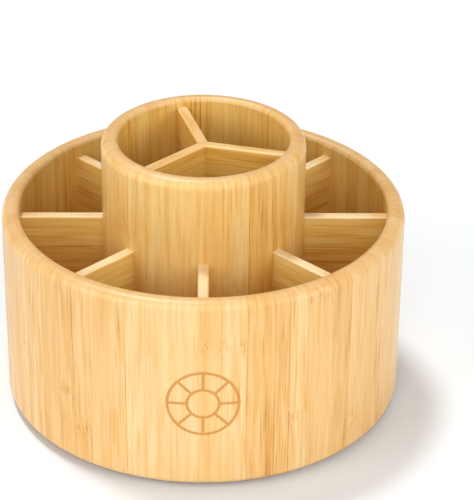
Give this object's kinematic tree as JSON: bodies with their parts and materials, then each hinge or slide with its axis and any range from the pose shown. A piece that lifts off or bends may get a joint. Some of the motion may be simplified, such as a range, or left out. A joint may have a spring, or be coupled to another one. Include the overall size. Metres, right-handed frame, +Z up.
{
  "type": "lazy susan organizer",
  "caption": "Round bamboo desk organizer that turns on a ball turntable, with open compartments around a taller divided cup for pens.",
  "frame": {"origin": "on the surface that the rubber feet stand on, on the turning axis", "axes": "+Z up along the turning axis; -Y faces the viewer in the reference view and +X is to the viewer's right, along one of the eight compartment dividers"},
  "size_m": [0.2, 0.2, 0.1405],
  "materials": {
    "bamboo_wall": "clear satin lacquer over edge-glued bamboo strips",
    "bamboo_board": "clear satin lacquer over flat bamboo board",
    "rubber": "matt black",
    "steel_plate": "zinc plated pressed sheet",
    "steel_screw": "bright zinc",
    "steel_ball": "polished",
    "nylon": "natural nylon"
  },
  "bodies": {
    "base": {"base_disc": "bamboo_board", "rubber_feet": "rubber", "turntable_lower_plate": "steel_plate", "turntable_rivet": "steel_plate", "base_screws": "steel_screw"},
    "drum": {"drum_wall": "bamboo_wall", "floor_panel": "bamboo_board", "cup_wall": "bamboo_wall", "ring_divider_1": "bamboo_board", "ring_divider_2": "bamboo_board", "ring_divider_3": "bamboo_board", "ring_divider_4": "bamboo_board", "ring_divider_5": "bamboo_board", "ring_divider_6": "bamboo_board", "ring_divider_7": "bamboo_board", "ring_divider_8": "bamboo_board", "cup_divider_1": "bamboo_board", "cup_divider_2": "bamboo_board", "cup_divider_3": "bamboo_board", "turntable_upper_plate": "steel_plate", "drum_screws": "steel_screw"},
    "ball_cage": {"turntable_balls": "steel_ball", "turntable_ball_cage": "nylon"}
  },
  "joints": [
    {"name": "drum_spin", "type": "hinge", "parent": "base", "child": "drum", "pos_m": [0, 0, 0.0115], "axis": [0, 0, 1], "continuous": true},
    {"name": "cage_spin", "type": "hinge", "parent": "base", "child": "ball_cage", "pos_m": [0, 0, 0.0115], "axis": [0, 0, 1], "continuous": true}
  ],
  "couplings": [
    {"joint": "cage_spin", "follows": "drum_spin", "ratio": 0.5}
  ]
}
